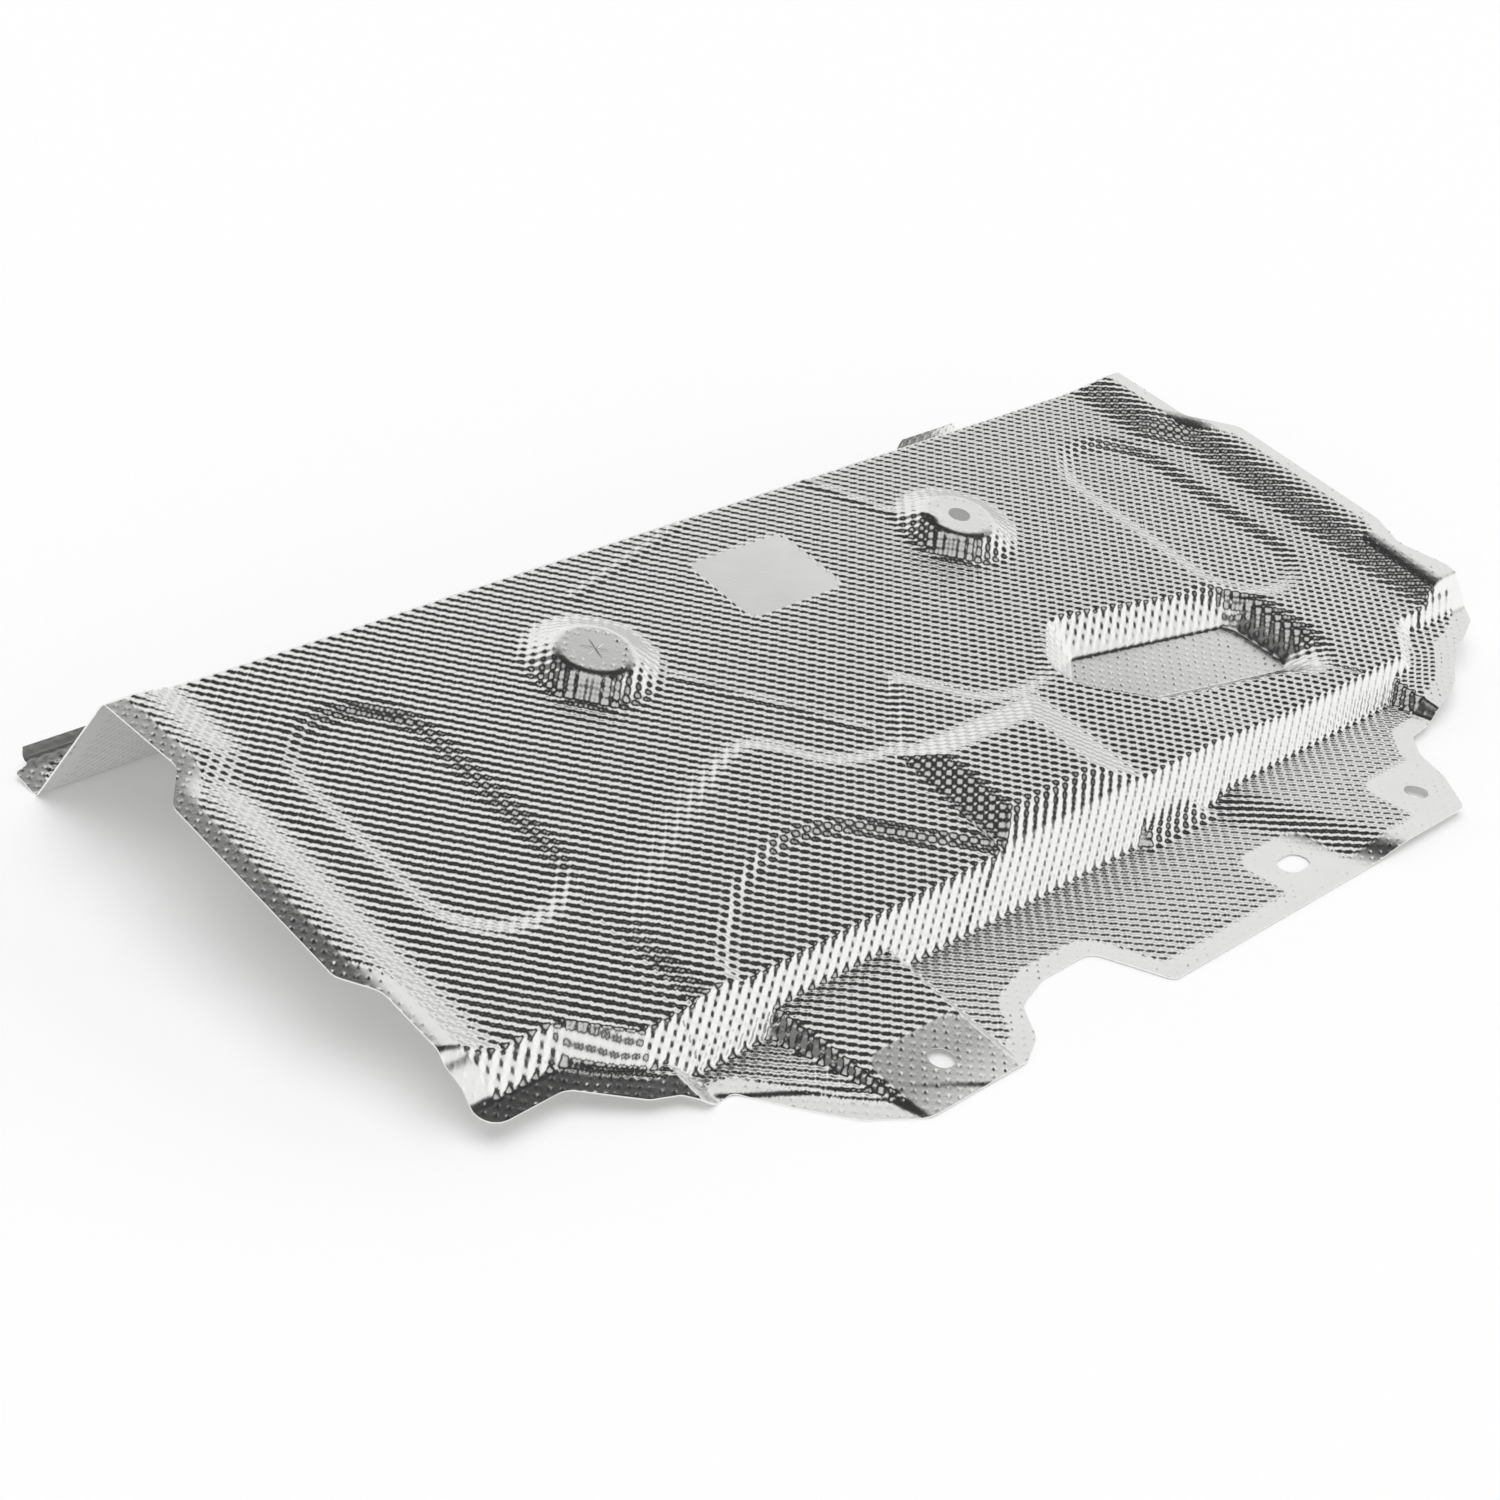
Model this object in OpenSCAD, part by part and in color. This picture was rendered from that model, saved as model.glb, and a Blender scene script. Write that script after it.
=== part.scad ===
// Heat shield pressed and folded from one sheet of embossed aluminium.
// X runs along the ridge, Y to the rear and Z up. The sheet lies as it comes to rest,
// on the middle length of its front flange and on the valley behind its rear wall.

/* [Sheet] */
// Thickness of the sheet
sheet_t = 1; // [0.6:0.1:1.6]
// Bend radius of the folds, at the top face
bend_r = 4; // [2:0.5:6]

/* [Main panel] */
// Panel depth from the front fold to the rear ridge
panel_depth = 235; // [200:1:280]
// Reach of the sheet to the left of the zero line
panel_left = 217.5; // [205:0.5:240]
// Reach of the sheet to the right of the zero line
panel_right = 414; // [400:1:440]
// Height by which both ends are raised
end_rise = 6.1; // [3:0.1:10]
// Width of the ramp up to each raised end
end_ramp = 13; // [9:0.5:20]

/* [Rear wall] */
// Depth of the rear wall below the ridge
wall_drop = 67; // [50:1:80]
// Slope of the rear wall
wall_slope = 63; // [50:1:75]
// Width of the rear foot flange
foot_w = 23; // [16:1:32]
// Height of the lip along the rear foot flange
lip_h = 11; // [7:0.5:14]

/* [Front wall and flange] */
// Drop from the panel to the middle length of the flange
front_drop = 15.5; // [10:0.5:22]
// Slope of the front wall
front_slope = 43; // [35:1:60]
// Drop from the panel to the flange length that has hole one
pad_one_drop = 9; // [5:0.5:14]
// Drop from the panel to the flange length that has hole three
pad_three_drop = 12.2; // [8:0.2:18]
// Width of the middle length of the flange
flange_w = 66.5; // [62:0.5:75]
// Slope of the flange length that has hole one, against the panel
pad_one_slope = 4; // [2:0.5:8]

/* [Holes] */
// Diameter of the three round holes
hole_d = 10.5; // [6:0.5:14]
// Length of the slot
slot_l = 16; // [12:0.5:24]

/* [Bosses] */
// Diameter of a boss at its foot
boss_d = 58; // [40:1:70]
// Diameter of the flat top of a boss
boss_top_d = 34; // [24:1:44]
// Height of a boss
boss_h = 7; // [4:0.5:12]

/* [Recesses] */
// Depth of the two long recesses
recess_h = 2; // [1:0.5:4]
// Width of a long recess at its mouth
recess_w = 66; // [50:1:80]
// Length of a long recess at its mouth
recess_l = 137; // [110:1:170]
// Width of the sloping wall of a long recess
recess_wall = 7; // [4:0.5:12]
// Depth of the pocket
pocket_h = 14; // [8:1:20]

/* [Raised forms] */
// Height of the wavy plateau
wave_h = 1.9; // [1:0.1:4]
// Height of the block above the panel
block_h = 8.4; // [5:0.2:14]

/* [Hidden] */
$fn = 96;

// Panel frame: the ridge and the front fold lie in the plane z = 0.
ridge_y = 141;
fold_y = ridge_y - panel_depth;
valley_y = ridge_y + wall_drop / tan(wall_slope);
foot_y = fold_y - front_drop / tan(front_slope);
rear_y = valley_y + foot_w;

// The floor touches the front flange and the underside of the valley bend.
valley_r = bend_r;
valley_c = [valley_y + valley_r * tan(wall_slope / 2), valley_r - wall_drop];
foot_to_c = valley_c - [foot_y, -front_drop];
rest_tilt = asin(valley_r / norm(foot_to_c)) - atan2(foot_to_c[1], foot_to_c[0]);

// Front edge of the flange, and the heights of its three lengths there
front_y = foot_y - flange_w;
middle_front_z = flange_w * tan(rest_tilt) - front_drop;
pad_one_foot = fold_y - pad_one_drop / tan(front_slope);
pad_three_foot = fold_y - pad_three_drop / tan(front_slope);
pad_three_front_z = (pad_three_foot - front_y) * tan(rest_tilt) - pad_three_drop;

// Middle of the resting sheet's box, on the floor
rest_front = front_y * cos(rest_tilt) - pad_three_front_z * sin(rest_tilt);
rest_rear = rear_y * cos(rest_tilt) + (wall_drop + sheet_t) * sin(rest_tilt);
rest_floor = foot_y * sin(rest_tilt) - front_drop * cos(rest_tilt) - sheet_t;
rest_middle = [(panel_right - panel_left) / 2, (rest_front + rest_rear) / 2, rest_floor];

// Sizes that only need to be large enough
big = 700;
deep = 160;
past = 20;
// Spacing of the plateau's sections, and where it fades out on the right
wave_step = 6;
wave_end = 236;
wave_fade = 40;

boss_one = [-17.5, 77.5];
boss_two = [206, 79];
recess_one = [83.5 - panel_left, 35];
recess_two = [panel_right - 91, 37];
hole_one = [170.5 - panel_left, front_y + 20.6];
slot_two = [169, front_y + 20.6];
hole_three = [panel_right - 157.7, front_y + 19.6];
// Corners of the pocket's floor, each with its radius, and the slope of its wall
pocket_corners = [for (c = [[-228, 70, 5], [-216, 80, 6], [-132, 60, 6], [-129, 36, 5], [-209, 53, 5]])
    [panel_right + c[0], fold_y + c[1], c[2]]];
pocket_slope = 45;

// The fold at both front corners stands back from the main one and drops to a narrow rim.
corner_fold_y = fold_y + 19;
slant_y = (corner_fold_y + fold_y) / 2;
left_slant_x = 68.5 - panel_left;
right_slant_x = panel_right - 68;
left_rim_drop = 9;
left_rim_x = 85.5 - panel_left;
right_rim_drop = 5;
right_rim_x = panel_right - 92;
// Foot of the ramp up to each raised end, at the point where it steps inward, and that step
left_ramp = [29.5 - panel_left, 79];
left_step = [12, 16];
right_ramp = [panel_right - 34, 77];
right_step = [-17.5, 17.5];
// Sides of the raised flange length that has hole one, at this height over its own drop
pad_one_left = 143.5 - panel_left;
pad_one_right = 193.5 - panel_left;
pad_one_side_h = 5;
// Foot of the shallow ramp up to the flange length that has hole three
pad_three_ramp = [panel_right - 234.5, front_y + 38];
pad_three_facing = 150;
pad_three_slope = 11.7;
// Gusset at the foot of the front wall
gusset_left = panel_right - 280;
gusset_right = panel_right - 252;
gusset_h = 6;
gusset_reach = 10;
// Middle of the block's top, and how far that top reaches to each side of it
block_mid = [94, -62];
block_left = 26;
block_right = 27;
block_rear = 18;
block_front = 19;
// Slopes of the sides of the smaller raised forms
rim_slope = 38;
block_slope = 25;

// Points with a radius, moved so that they count from x and y
function placed(pts, x, y) = [for (p = pts) [x + p[0], y + p[1], p[2]]];

// Plan outline of the sheet: each point with the radius of its corner.
// The front corners count from the front fold, and the flange from its own front edge.
left_side = [[13.5, rear_y, 3], [13.5, rear_y - 5, 2], [6.5, rear_y - 7.5, 2], [6.5, valley_y, 8],
             [9.5, ridge_y - 7, 4], [13.5, 94, 8], [0, 76, 8], [0, -23, 8], [10, -37, 10]];
left_corner = [[10, 20, 14], [13.5, 13, 14], [12.5, -2, 8], [46.5, -1, 10], [68.5, -20, 8],
               [79.5, -24, 3], [86.5, -32, 4], [98.5, -30.5, 4]];
left_flange = [[114.5, 28.6, 60], [124.5, 15.1, 12], [144.5, 1.5, 12], [195.5, 1.5, 4], [209.5, 9, 6],
               [220.5, 25, 10], [239.5, 31, 6], [267.5, 31, 8], [280.5, 0, 4]];
right_flange = [[-151, 0, 6], [-136, 19, 16], [-128, 37, 10]];
right_corner = [[-117, -35.5, 3], [-103, -34, 5], [-73, -26, 6], [-61, -20, 5], [-43, -6, 3],
                [-31, -4, 5], [-12, 4, 5], [-4, 14, 6], [0, 32, 10]];
right_side = [[-8, -38, 10], [0, -19, 8], [0, 71, 8], [-21, 92, 8], [-23, ridge_y, 7],
              [-46, valley_y, 8], [-53, rear_y, 4]];
outline = concat(
    placed(left_side, -panel_left, 0), placed(left_corner, -panel_left, fold_y),
    placed(left_flange, -panel_left, front_y), placed(right_flange, panel_right, front_y),
    placed(right_corner, panel_right, fold_y), placed(right_side, panel_right, 0));

// Lip along the rear edge of the foot flange: points of its top line, as x and share of lip_h
lip_top = concat(
    [[13.5 - panel_left, 0.5], [-10, 0.55], [4, 1]],
    [for (p = [[-179, 1], [-174, 0.3], [-156, 0.3], [-152, 1], [-124, 1], [-119, 0.4], [-110, 0.4],
               [-106, 1.5], [-65, 1.5], [-61, 0.5], [-54, 0.5]]) [panel_right + p[0], p[1]]]);

// Rear edge of the plateau, from left to right
wave_rear = [
    [-114, -92], [-114, -63], [-104, -40], [-75, -21], [-40, -4], [-14, 6], [2, 9.5], [15, 2],
    [28, -13], [45, -21], [62, -21], [74, -8], [91, 11], [104, 2], [117, -13], [134, -21],
    [156, -19], [172, -5], [190, 0], [215, -20], [240, -40]
];
// Front edge of the plateau, where the panel falls back to its own level
wave_front = [
    [-114, -125], [-95, -105], [-84, -83], [-60, -62], [-31, -49], [-10, -49], [11, -58],
    [28, -75], [41, -83], [54, -97], [66, -125], [240, -125]
];

function unit(v) = v / norm(v);
function left_of(v) = [-v[1], v[0]];

// Points of the arc that rounds corner b of the line a, b, c with radius r
function corner(a, b, c, r, n) =
    let (u = unit(a - b), v = unit(c - b), half = acos(u * v) / 2,
         mid = unit(u + v), centre = b + mid * r / sin(half), sweep = 90 - half,
         side = sign(u[0] * v[1] - u[1] * v[0]))
    [for (k = [0:n]) let (ang = side * sweep * (1 - 2 * k / n))
        centre - r * [mid[0] * cos(ang) - mid[1] * sin(ang), mid[0] * sin(ang) + mid[1] * cos(ang)]];

// Line with every inner corner rounded by the radius in its third number
function rounded(pts, n) = let (last = len(pts) - 1) concat(
    [[pts[0][0], pts[0][1]]],
    [for (i = [1:last - 1]) each corner([pts[i-1][0], pts[i-1][1]], [pts[i][0], pts[i][1]],
                                        [pts[i+1][0], pts[i+1][1]], pts[i][2], n)],
    [[pts[last][0], pts[last][1]]]);

// Closed outline with every corner rounded
function rounded_loop(pts, n) = let (m = len(pts))
    [for (i = [0:m - 1]) let (a = pts[(i + m - 1) % m], b = pts[i], c = pts[(i + 1) % m])
        each corner([a[0], a[1]], [b[0], b[1]], [c[0], c[1]], b[2], n)];

// Line moved sideways by d, to its left, with mitred corners
function moved(pts, d) = let (last = len(pts) - 1)
    [for (i = [0:last]) let (
        p = left_of(unit(pts[max(i, 1)] - pts[max(i, 1) - 1])),
        q = left_of(unit(pts[min(i, last - 1) + 1] - pts[min(i, last - 1)])))
        pts[i] + d * (p + q) / (1 + p * q)];

// Smooth line through the points
function spline(pts, n) = let (last = len(pts) - 1) concat(
    [for (i = [0:last - 1]) let (
        a = pts[max(i - 1, 0)], b = pts[i], c = pts[i + 1], e = pts[min(i + 2, last)])
        each [for (k = [0:n - 1]) let (s = k / n)
            (2 * b + (c - a) * s + (2 * a - 5 * b + 4 * c - e) * s * s
             + (3 * b - a - 3 * c + e) * s * s * s) / 2]],
    [pts[last]]);

// Profile in the plane of y and z, drawn along x from x0 to x1
module along_x(pts, x0, x1) {
    translate([x0, 0, 0]) rotate([90, 0, 90]) linear_extrude(x1 - x0) polygon(pts);
}

// Space under a plane through p that falls at the slope toward the azimuth, moved down by d
module under(p, azimuth, slope, d) {
    translate(p) rotate([0, 0, azimuth]) rotate([0, slope, 0])
        translate([-big, -big, -2 * big - d]) cube(2 * big);
}

// Profile of the folded sheet from the rear flange to the front flange
function profile(rise, d) = moved(rounded([
    [rear_y + past, -wall_drop],
    [valley_y, -wall_drop, valley_r],
    [ridge_y - rise / tan(wall_slope), rise, bend_r],
    [fold_y + rise / tan(front_slope), rise, bend_r],
    [foot_y, -front_drop, bend_r],
    [front_y - past, middle_front_z + past * tan(rest_tilt)]], 4), d);

module profile_body(rise, d, x0, x1) {
    pts = profile(rise, d);
    last = len(pts) - 1;
    along_x(concat(pts, [[pts[last][0] - d, -deep - d], [pts[0][0] + d, -deep - d]]), x0 - d, x1 + d);
}

// Raised end: left has side -1, right has side 1. Its ramp follows the outline's step inward.
module raised_end(side, foot, step, d) {
    x_end = side < 0 ? -panel_left - past : panel_right + past;
    x_rear = foot[0] + step[0];
    facing = side < 0 ? 0 : 180;
    slope = atan(end_rise / end_ramp);
    intersection() {
        profile_body(end_rise, d, min(x_rear, x_end), max(x_rear, x_end));
        union() {
            under([foot[0], 0, 0], facing, slope, d);
            intersection() {
                under([x_rear, 0, 0], facing, slope, d);
                under([foot[0], foot[1], 0], atan2(step[1], step[0]) + side * 90, slope, d);
            }
        }
    }
}

module boss(at, d) {
    slope = atan(2 * boss_h / (boss_d - boss_top_d));
    shrink = d * tan(slope / 2);
    below = 10;
    translate([at[0], at[1], -below - d])
        cylinder(h = boss_h + below, r1 = boss_d / 2 + below / tan(slope) - shrink,
                 r2 = boss_top_d / 2 - shrink);
}

module long_recess(at, d) {
    slope = atan(recess_h / recess_wall);
    grow = d * tan(slope / 2);
    above = 2;
    r_low = recess_w / 2 - recess_wall + grow;
    r_high = recess_w / 2 + above / tan(slope) + grow;
    h = recess_h + above;
    reach = (recess_l - recess_w) / 2;
    translate([at[0], at[1], -recess_h - d]) {
        for (s = [-1, 1]) translate([0, s * reach, 0]) cylinder(h = h, r1 = r_low, r2 = r_high);
        rotate([90, 0, 0]) linear_extrude(2 * reach, center = true)
            polygon([[-r_low, 0], [r_low, 0], [r_high, h], [-r_high, h]]);
    }
}

// Plateau with sloping edges, built as a row of sections across the panel
module plateau(d) {
    x0 = wave_rear[0][0];
    x1 = wave_rear[len(wave_rear) - 1][0];
    count = ceil((x1 - x0) / wave_step);
    rear = spline(wave_rear, 4);
    front = spline(wave_front, 4);
    below = 3;
    lean = 1.2;
    points = [for (k = [0:count]) let (
        x = x0 + (x1 - x0) * k / count, y_rear = lookup(x, rear), y_front = lookup(x, front),
        high = min(wave_h, (wave_end - x) * wave_h / wave_fade))
        each [[x, y_front - below * lean, -below - d], [x, y_rear + below * lean, -below - d],
              [x, y_rear - high * lean, high - d], [x, y_front + high * lean, high - d]]];
    polyhedron(points, concat(
        [[0, 1, 2, 3]],
        [for (k = [0:count - 1], e = [0:3]) let (f = (e + 1) % 4)
            [4 * k + f, 4 * k + e, 4 * k + 4 + e, 4 * k + 4 + f]],
        [[for (e = [3:-1:0]) 4 * count + e]]), convexity = 10);
}

module block(d) {
    intersection() {
        under([0, 0, block_h], 0, 0, d);
        under([block_mid[0] - block_left, 0, block_h], 180, block_slope, d);
        under([0, block_mid[1] + block_rear, block_h], 90, block_slope, d);
        under([block_mid[0] + block_right, 0, block_h], 0, 18, d);
        under([0, block_mid[1] - block_front, block_h], -90, 28, d);
        under([0, fold_y, 0], -90, front_slope, d);
    }
}

// Space in front of the front fold, where the flange lengths stand
module front_room() {
    translate([-big, fold_y + 5 - 2 * big, -big]) cube(2 * big);
}

// Middle length of the flange, parallel to the floor
module flange_floor(d) {
    intersection() {
        under([0, foot_y, -front_drop], 90, rest_tilt, d);
        front_room();
    }
}

module pad_one(d) {
    side_z = pad_one_side_h - pad_one_drop;
    intersection() {
        under([0, pad_one_foot, -pad_one_drop], 90, pad_one_slope, d);
        under([pad_one_left, 0, side_z], 180, 40, d);
        under([pad_one_right, 0, side_z], 0, 50, d);
        front_room();
    }
}

module pad_three(d) {
    ramp_z = (foot_y - pad_three_ramp[1]) * tan(rest_tilt) - front_drop;
    intersection() {
        under([0, pad_three_foot, -pad_three_drop], 90, rest_tilt, d);
        under([pad_three_ramp[0], pad_three_ramp[1], ramp_z], pad_three_facing, pad_three_slope, d);
        front_room();
    }
}

// Small slanting face that fills the foot of the front wall beside pad three
module gusset(d) {
    top_z = gusset_h - front_drop;
    intersection() {
        under([0, fold_y - gusset_reach, top_z], -90, 22, d);
        under([gusset_left, 0, top_z], 180, 35, d);
        under([gusset_right, 0, top_z], 0, 25, d);
        front_room();
    }
}

// Pocket with rounded ends, narrowing to its floor
module pocket(d) {
    grow = d * tan(pocket_slope / 2);
    above = 4;
    h = pocket_h + above;
    translate([0, 0, -pocket_h - d]) hull()
        for (c = pocket_corners) translate([c[0], c[1], 0])
            cylinder(h = h, r1 = c[2] + grow, r2 = c[2] + grow + h / tan(pocket_slope), $fn = 32);
}

// Space behind the front corners: the stepped-back fold and the slanting one beside it
module corner_room(side, x_slant, d) {
    under([0, corner_fold_y, 0], -90, front_slope, d);
    under([x_slant, slant_y, 0], side < 0 ? -129 : -51, front_slope, d);
}

// Narrow rim in front of a front corner
module corner_rim(side, drop, x_end, d) {
    intersection() {
        under([0, 0, -drop], 0, 0, d);
        under([x_end, 0, -drop], side < 0 ? 0 : 180, rim_slope, d);
        translate([-big, corner_fold_y - 2 * big, -big]) cube(2 * big);
    }
}

// Space under the top face of the sheet, with that face moved inward by d
module form(d) {
    difference() {
        union() {
            intersection() {
                profile_body(0, d, -panel_left - past, panel_right + past);
                corner_room(-1, left_slant_x, d);
                corner_room(1, right_slant_x, d);
            }
            intersection() {
                raised_end(-1, left_ramp, left_step, d);
                corner_room(-1, left_slant_x, d);
            }
            intersection() {
                raised_end(1, right_ramp, right_step, d);
                corner_room(1, right_slant_x, d);
            }
            flange_floor(d);
            corner_rim(-1, left_rim_drop, left_rim_x, d);
            corner_rim(1, right_rim_drop, right_rim_x, d);
            boss(boss_one, d);
            boss(boss_two, d);
            intersection() {
                plateau(d);
                under([0, fold_y, 0], -90, front_slope, d);
            }
            block(d);
            pad_one(d);
            pad_three(d);
            gusset(d);
        }
        long_recess(recess_one, d);
        long_recess(recess_two, d);
        pocket(d);
    }
}

module lip() {
    translate([0, rear_y, -wall_drop]) rotate([90, 0, 0]) linear_extrude(sheet_t)
        polygon(concat([[lip_top[0][0], -sheet_t]], [for (p = lip_top) [p[0], p[1] * lip_h]],
                       [[lip_top[len(lip_top) - 1][0], -sheet_t]]));
}

// Drill square to a face that leans by the angle, through the point at on that face
module drill(at, z, lean) {
    h = 16;
    translate([at[0], at[1], z]) rotate([-lean, 0, 0]) cylinder(h = h, d = hole_d, center = true);
}

module holes() {
    one_z = (pad_one_foot - hole_one[1]) * tan(pad_one_slope) - pad_one_drop;
    two_z = (foot_y - slot_two[1]) * tan(rest_tilt) - front_drop;
    three_z = (pad_three_foot - hole_three[1]) * tan(rest_tilt) - pad_three_drop;
    shift = (slot_l - hole_d) / 2;
    drill(hole_one, one_z, pad_one_slope);
    drill(hole_three, three_z, rest_tilt);
    drill(boss_two, boss_h, 0);
    for (s = [-1, 1]) drill(slot_two + [s * shift, 0], two_z, rest_tilt);
    translate([slot_two[0], slot_two[1], two_z]) rotate([-rest_tilt, 0, 0])
        cube([2 * shift, hole_d, 16], center = true);
}

module shield() {
    color("gainsboro") translate(-rest_middle) rotate([rest_tilt, 0, 0]) difference() {
        union() {
            intersection() {
                difference() {
                    form(0);
                    form(sheet_t);
                }
                translate([0, 0, 10 - deep]) linear_extrude(2 * deep)
                    polygon(rounded_loop(outline, 4));
            }
            lip();
        }
        holes();
    }
}

shield();
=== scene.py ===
import math
import bpy
import numpy as np
from mathutils import Matrix, Vector

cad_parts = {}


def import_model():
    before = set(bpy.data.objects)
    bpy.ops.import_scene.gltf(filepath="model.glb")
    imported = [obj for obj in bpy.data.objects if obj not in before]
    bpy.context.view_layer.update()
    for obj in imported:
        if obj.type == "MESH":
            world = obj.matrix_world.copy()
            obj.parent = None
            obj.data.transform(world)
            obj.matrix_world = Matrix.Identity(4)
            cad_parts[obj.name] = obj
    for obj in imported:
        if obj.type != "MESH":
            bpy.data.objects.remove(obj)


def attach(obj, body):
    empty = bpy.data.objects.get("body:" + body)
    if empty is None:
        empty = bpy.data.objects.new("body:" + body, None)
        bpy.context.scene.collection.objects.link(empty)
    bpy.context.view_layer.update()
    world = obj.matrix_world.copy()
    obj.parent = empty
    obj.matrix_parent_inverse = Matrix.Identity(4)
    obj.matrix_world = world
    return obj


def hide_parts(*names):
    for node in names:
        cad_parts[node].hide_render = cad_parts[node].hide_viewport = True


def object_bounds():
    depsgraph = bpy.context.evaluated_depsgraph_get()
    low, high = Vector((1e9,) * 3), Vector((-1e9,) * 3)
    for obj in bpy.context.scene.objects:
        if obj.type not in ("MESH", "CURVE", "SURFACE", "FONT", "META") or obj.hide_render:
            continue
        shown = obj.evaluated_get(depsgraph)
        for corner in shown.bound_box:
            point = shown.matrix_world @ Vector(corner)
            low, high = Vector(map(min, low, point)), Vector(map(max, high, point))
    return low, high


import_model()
cad_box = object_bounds()

# Sizes in mm and slopes in degrees, as in the part's source
SHEET_T = 1.0
PANEL_DEPTH, PANEL_LEFT, PANEL_RIGHT = 235.0, 217.5, 414.0
END_RISE, END_RAMP = 6.1, 13.0
WALL_DROP, WALL_SLOPE, FOOT_W, LIP_H = 67.0, 63.0, 23.0, 11.0
FRONT_DROP, FRONT_SLOPE = 15.5, 43.0
PAD_ONE_DROP, PAD_THREE_DROP, FLANGE_W, PAD_ONE_SLOPE = 9.0, 12.2, 66.5, 4.0
HOLE_D, SLOT_L = 10.5, 16.0
BOSS_D, BOSS_TOP_D, BOSS_H = 58.0, 34.0, 7.0
RECESS_H, RECESS_W, RECESS_L, RECESS_WALL, POCKET_H = 2.0, 66.0, 137.0, 7.0, 14.0
WAVE_H, BLOCK_H = 1.9, 8.4
WAVE_RUN_REAR, WAVE_RUN_FRONT, WAVE_RUN_SIDE = 3.4, 3.0, 7.0
POCKET_LEAN = 0.02

# Roundings in mm where two faces of the sheet meet
CREASE, RIDGE_ROUND, VALLEY_ROUND, FOLD_ROUND, CORNER_ROUND = 1.6, 3.4, 3.0, 1.8, 3.0
END_TOP_ROUND, END_FOOT_ROUND, BOSS_ROUND, WAVE_ROUND, PAD_ROUND = 4.5, 3.5, 2.4, 0.8, 1.8
RIM_SLOPE, RIM_ROUND = 38, 1.4
# Boss cones are cut off this far outside the boss, so that they stay clear of the rear wall
BOSS_REACH = 7
# The plateau fades to nothing at this x, over this length
WAVE_END, WAVE_FADE = 236, 40
# Part of the panel that the pocket can reach: x from, x to, y from, y to
POCKET_BOX = (152, 328, -92, 22)


def tan(a):
    return math.tan(math.radians(a))


RIDGE_Y = 141.0
FOLD_Y = RIDGE_Y - PANEL_DEPTH
VALLEY_Y = RIDGE_Y + WALL_DROP / tan(WALL_SLOPE)
FOOT_Y = FOLD_Y - FRONT_DROP / tan(FRONT_SLOPE)
REAR_Y = VALLEY_Y + FOOT_W
FRONT_Y = FOOT_Y - FLANGE_W
# Lean at rest, and the middle of the footprint on the floor once the part has leaned
TILT = 10.143404
MIDDLE = np.array([98.25, 16.302718, -35.739601])
PAD_ONE_FOOT = FOLD_Y - PAD_ONE_DROP / tan(FRONT_SLOPE)
PAD_THREE_FOOT = FOLD_Y - PAD_THREE_DROP / tan(FRONT_SLOPE)

LEFT_RAMP, LEFT_STEP = (29.5 - PANEL_LEFT, 79), (12, 16)
RIGHT_RAMP, RIGHT_STEP = (PANEL_RIGHT - 34, 77), (-17.5, 17.5)
BOSS_ONE = (-17.5, 77.5)
BOSS_TWO = (206.0, 79.0)
RECESS_ONE = (83.5 - PANEL_LEFT, 35.0)
RECESS_TWO = (PANEL_RIGHT - 91, 37.0)
HOLE_ONE = (170.5 - PANEL_LEFT, FRONT_Y + 20.6)
SLOT_TWO = (169.0, FRONT_Y + 20.6)
HOLE_THREE = (PANEL_RIGHT - 157.7, FRONT_Y + 19.6)
POCKET = [(PANEL_RIGHT + a, FOLD_Y + b, r) for a, b, r in
          ((-228, 70, 5), (-216, 80, 6), (-132, 60, 6), (-129, 36, 5), (-209, 53, 5))]
CORNER_FOLD_Y = FOLD_Y + 19
SLANT_Y = (CORNER_FOLD_Y + FOLD_Y) / 2
PATCH = (66.0, 69.0, 122.5, 113.0)

LEFT_SIDE = [(13.5, REAR_Y, 3), (13.5, REAR_Y - 5, 2), (6.5, REAR_Y - 7.5, 2), (6.5, VALLEY_Y, 8),
             (9.5, RIDGE_Y - 7, 4), (13.5, 94, 8), (0, 76, 8), (0, -23, 8), (10, -37, 10)]
LEFT_CORNER = [(10, 20, 14), (13.5, 13, 14), (12.5, -2, 8), (46.5, -1, 10), (68.5, -20, 8),
               (79.5, -24, 3), (86.5, -32, 4), (98.5, -30.5, 4)]
LEFT_FLANGE = [(114.5, 28.6, 60), (124.5, 15.1, 12), (144.5, 1.5, 12), (195.5, 1.5, 4), (209.5, 9, 6),
               (220.5, 25, 10), (239.5, 31, 6), (267.5, 31, 8), (280.5, 0, 4)]
RIGHT_FLANGE = [(-151, 0, 6), (-136, 19, 16), (-128, 37, 10)]
RIGHT_CORNER = [(-117, -35.5, 3), (-103, -34, 5), (-73, -26, 6), (-61, -20, 5), (-43, -6, 3),
                (-31, -4, 5), (-12, 4, 5), (-4, 14, 6), (0, 32, 10)]
RIGHT_SIDE = [(-8, -38, 10), (0, -19, 8), (0, 71, 8), (-21, 92, 8), (-23, RIDGE_Y, 7),
              (-46, VALLEY_Y, 8), (-53, REAR_Y, 4)]
LIP_TOP = [(13.5 - PANEL_LEFT, 0.5), (-10, 0.55), (4, 1)] + [(PANEL_RIGHT + a, b) for a, b in (
    (-179, 1), (-174, 0.3), (-156, 0.3), (-152, 1), (-124, 1), (-119, 0.4), (-110, 0.4),
    (-106, 1.5), (-65, 1.5), (-61, 0.5), (-54, 0.5))]
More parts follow.
